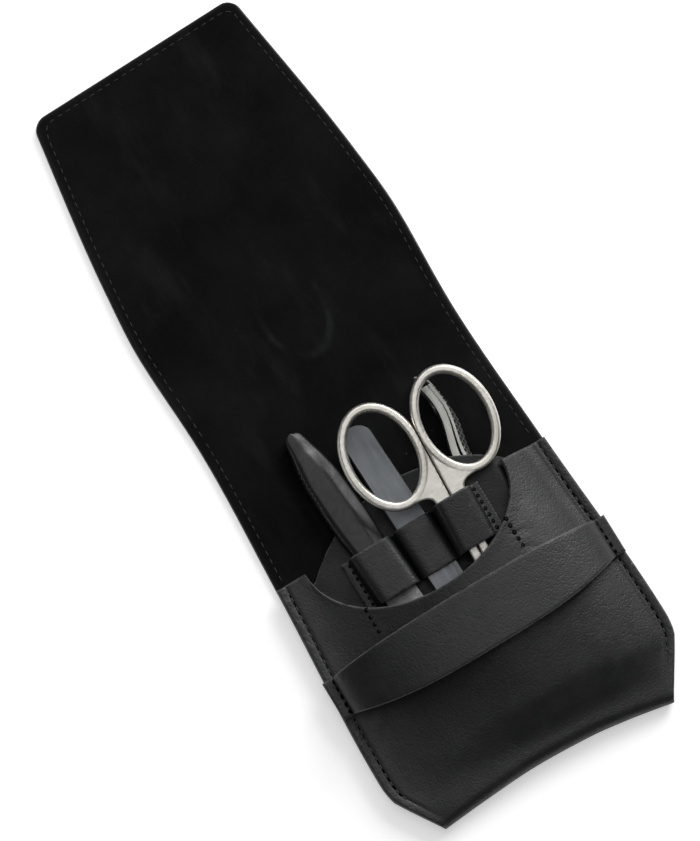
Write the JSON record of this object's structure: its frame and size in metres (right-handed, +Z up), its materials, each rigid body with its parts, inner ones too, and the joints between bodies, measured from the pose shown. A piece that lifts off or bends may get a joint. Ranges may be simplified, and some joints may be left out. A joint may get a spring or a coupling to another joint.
{
  "type": "manicure set case",
  "caption": "Black leather manicure case laid open, with a scooped pocket, a holding strap and loops that hold a nail file, tweezers, nail scissors and a nail clipper.",
  "frame": {"origin": "centre of the open case's outline, on the surface that the case lies on", "axes": "+X across the case, towards the clipper; +Y along the case, from the pocket's bottom to the flap's end; +Z up out of the open case"},
  "size_m": [0.0818, 0.2074, 0.0186],
  "materials": {
    "leather": "smooth black cowhide with a soft sheen and a raw cut edge",
    "suede": "matt black suede lining",
    "black_plastic": "satin moulded black plastic",
    "file_steel": "steel with a grit coat and bare edges",
    "tweezer_steel": "dark satin steel",
    "nickel": "satin nickel plate",
    "clipper_steel": "polished nickel-plated steel"
  },
  "bodies": {
    "case": {"back_leather": "leather", "back_lining": "suede", "pocket_front": "leather", "holder_panel": "leather", "loop_strip": "leather", "strap": "leather"},
    "fold": {"fold_leather": "leather", "fold_lining": "suede"},
    "flap": {"flap_leather": "leather", "flap_lining": "suede"},
    "file": {"file_handle": "black_plastic", "file_blade": "file_steel"},
    "tweezers": {"tweezers_back_arm": "tweezer_steel"},
    "tweezers_front": {"tweezers_front_arm": "tweezer_steel"},
    "scissors": {"scissors_screw": "nickel"},
    "scissors_left": {"scissors_left_half": "nickel"},
    "scissors_right": {"scissors_right_half": "nickel"},
    "clipper": {"clipper_lower_leaf": "clipper_steel", "clipper_rivet": "clipper_steel", "clipper_post": "clipper_steel", "clipper_pin": "clipper_steel"},
    "clipper_upper": {"clipper_upper_leaf": "clipper_steel"},
    "lever": {"clipper_lever": "clipper_steel"}
  },
  "joints": [
    {"name": "fold_hinge", "type": "hinge", "parent": "case", "child": "fold", "pos_m": [0, 0.0108, 0.0019], "axis": [-1, 0, 0], "range_deg": [-90, 0]},
    {"name": "flap_hinge", "type": "hinge", "parent": "fold", "child": "flap", "pos_m": [0, 0.0243, 0.0019], "axis": [-1, 0, 0], "range_deg": [-87, 0]},
    {"name": "file_slide", "type": "slide", "parent": "case", "child": "file", "axis": [-0.0602, 0.9982, 0], "range_m": [0, 0.06]},
    {"name": "tweezers_slide", "type": "slide", "parent": "case", "child": "tweezers", "axis": [-0.0297, 0.9996, 0], "range_m": [0, 0.06]},
    {"name": "tweezers_squeeze", "type": "hinge", "parent": "tweezers", "child": "tweezers_front", "pos_m": [-0.00195, -0.0059, 0.0054], "axis": [0.9996, 0.0297, 0], "range_deg": [0, 1.1], "stiffness_Nm_per_rad": 6},
    {"name": "scissors_slide", "type": "slide", "parent": "case", "child": "scissors", "axis": [0.046, 0.9935, 0.1045], "range_m": [0, 0.09]},
    {"name": "scissors_left_turn", "type": "hinge", "parent": "scissors", "child": "scissors_left", "pos_m": [0.00875, -0.0617, 0.00676], "axis": [-0.0048, -0.1044, 0.9945], "range_deg": [0, 11.5]},
    {"name": "scissors_right_turn", "type": "hinge", "parent": "scissors", "child": "scissors_right", "pos_m": [0.00875, -0.0617, 0.00676], "axis": [0.0048, 0.1044, -0.9945], "range_deg": [0, 11.5]},
    {"name": "clipper_slide", "type": "slide", "parent": "case", "child": "clipper", "axis": [0, 1, 0], "range_m": [0, 0.07]},
    {"name": "clipper_squeeze", "type": "hinge", "parent": "clipper", "child": "clipper_upper", "pos_m": [0.01969, -0.0123, 0.0052], "axis": [0, 0, -1], "range_deg": [0, 2], "stiffness_Nm_per_rad": 10},
    {"name": "lever_lift", "type": "hinge", "parent": "clipper", "child": "lever", "pos_m": [0.0223, -0.0498, 0.0052], "axis": [0, 0, -1], "range_deg": [0, 20]}
  ],
  "couplings": [
    {"joint": "flap_hinge", "follows": "fold_hinge", "ratio": 0.96666},
    {"joint": "scissors_left_turn", "follows": "scissors_slide", "rad_per_m": 2.2301},
    {"joint": "scissors_right_turn", "follows": "scissors_slide", "rad_per_m": 2.2301},
    {"joint": "lever_lift", "follows": "clipper_slide", "rad_per_m": 4.9866}
  ]
}
